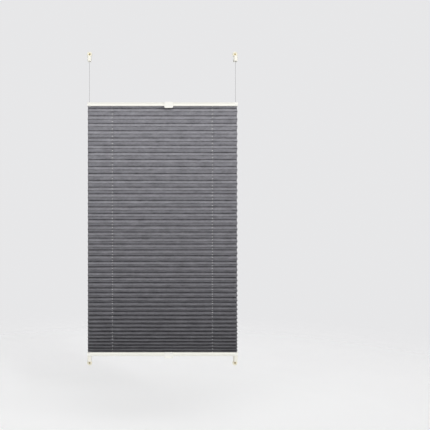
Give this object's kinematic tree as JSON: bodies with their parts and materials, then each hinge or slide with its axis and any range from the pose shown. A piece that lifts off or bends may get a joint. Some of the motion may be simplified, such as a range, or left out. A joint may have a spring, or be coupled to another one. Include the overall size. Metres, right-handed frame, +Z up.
{
  "type": "pleated blind",
  "caption": "Top-down bottom-up pleated window blind: grey folded cloth between two white rails that slide on tensioned cords, held by screwed corner shoes.",
  "frame": {"origin": "on the window face that the blind is screwed to, at the centre of the four screws", "axes": "+X to the right, +Y back into the window, +Z up; the cloth hangs in front of the window face, at negative Y"},
  "size_m": [0.604, 0.0446, 1.26],
  "materials": {
    "cloth": "matte",
    "cord": "matte",
    "rail_coating": "satin",
    "white_plastic": "satin",
    "shoe_plastic": "satin",
    "strip_plastic": "satin",
    "screw_metal": "satin",
    "spring_wire": "satin"
  },
  "bodies": {
    "root": {"pleated_cloth": "cloth", "left_tension_cord": "cord", "top_left_spring": "spring_wire", "top_left_cord_bead": "white_plastic", "bottom_left_cord_wedge": "white_plastic", "right_tension_cord": "cord", "top_right_spring": "spring_wire", "top_right_cord_bead": "white_plastic", "bottom_right_cord_wedge": "white_plastic", "top_left_shoe_base": "shoe_plastic", "top_left_shoe_body": "shoe_plastic", "top_left_screw": "screw_metal", "top_right_shoe_base": "shoe_plastic", "top_right_shoe_body": "shoe_plastic", "top_right_screw": "screw_metal", "bottom_left_shoe_base": "shoe_plastic", "bottom_left_shoe_body": "shoe_plastic", "bottom_left_screw": "screw_metal", "bottom_right_shoe_base": "shoe_plastic", "bottom_right_shoe_body": "shoe_plastic", "bottom_right_screw": "screw_metal"},
    "top_rail": {"top_left_end_cap": "white_plastic", "top_left_cord_guide": "white_plastic", "top_right_end_cap": "white_plastic", "top_right_cord_guide": "white_plastic", "top_rail_profile": "rail_coating", "top_cloth_strip": "strip_plastic"},
    "bottom_rail": {"bottom_left_end_cap": "white_plastic", "bottom_left_cord_guide": "white_plastic", "bottom_right_end_cap": "white_plastic", "bottom_right_cord_guide": "white_plastic", "bottom_rail_profile": "rail_coating", "bottom_cloth_strip": "strip_plastic"},
    "top_handle": {"top_rail_handle": "white_plastic"},
    "bottom_handle": {"bottom_rail_handle": "white_plastic"}
  },
  "joints": [
    {"name": "top_rail_slide", "type": "slide", "parent": "root", "child": "top_rail", "axis": [0, 0, 1], "range_m": [-0.468, 0.1645], "deforming": ["pleated_cloth", "left_tension_cord", "right_tension_cord"]},
    {"name": "bottom_rail_slide", "type": "slide", "parent": "root", "child": "bottom_rail", "axis": [0, 0, 1], "range_m": [0, 0.468], "deforming": ["pleated_cloth", "left_tension_cord", "right_tension_cord"]},
    {"name": "top_handle_slide", "type": "slide", "parent": "top_rail", "child": "top_handle", "axis": [1, 0, 0], "range_m": [-0.29, 0.242]},
    {"name": "bottom_handle_slide", "type": "slide", "parent": "bottom_rail", "child": "bottom_handle", "axis": [1, 0, 0], "range_m": [-0.29, 0.242]}
  ]
}
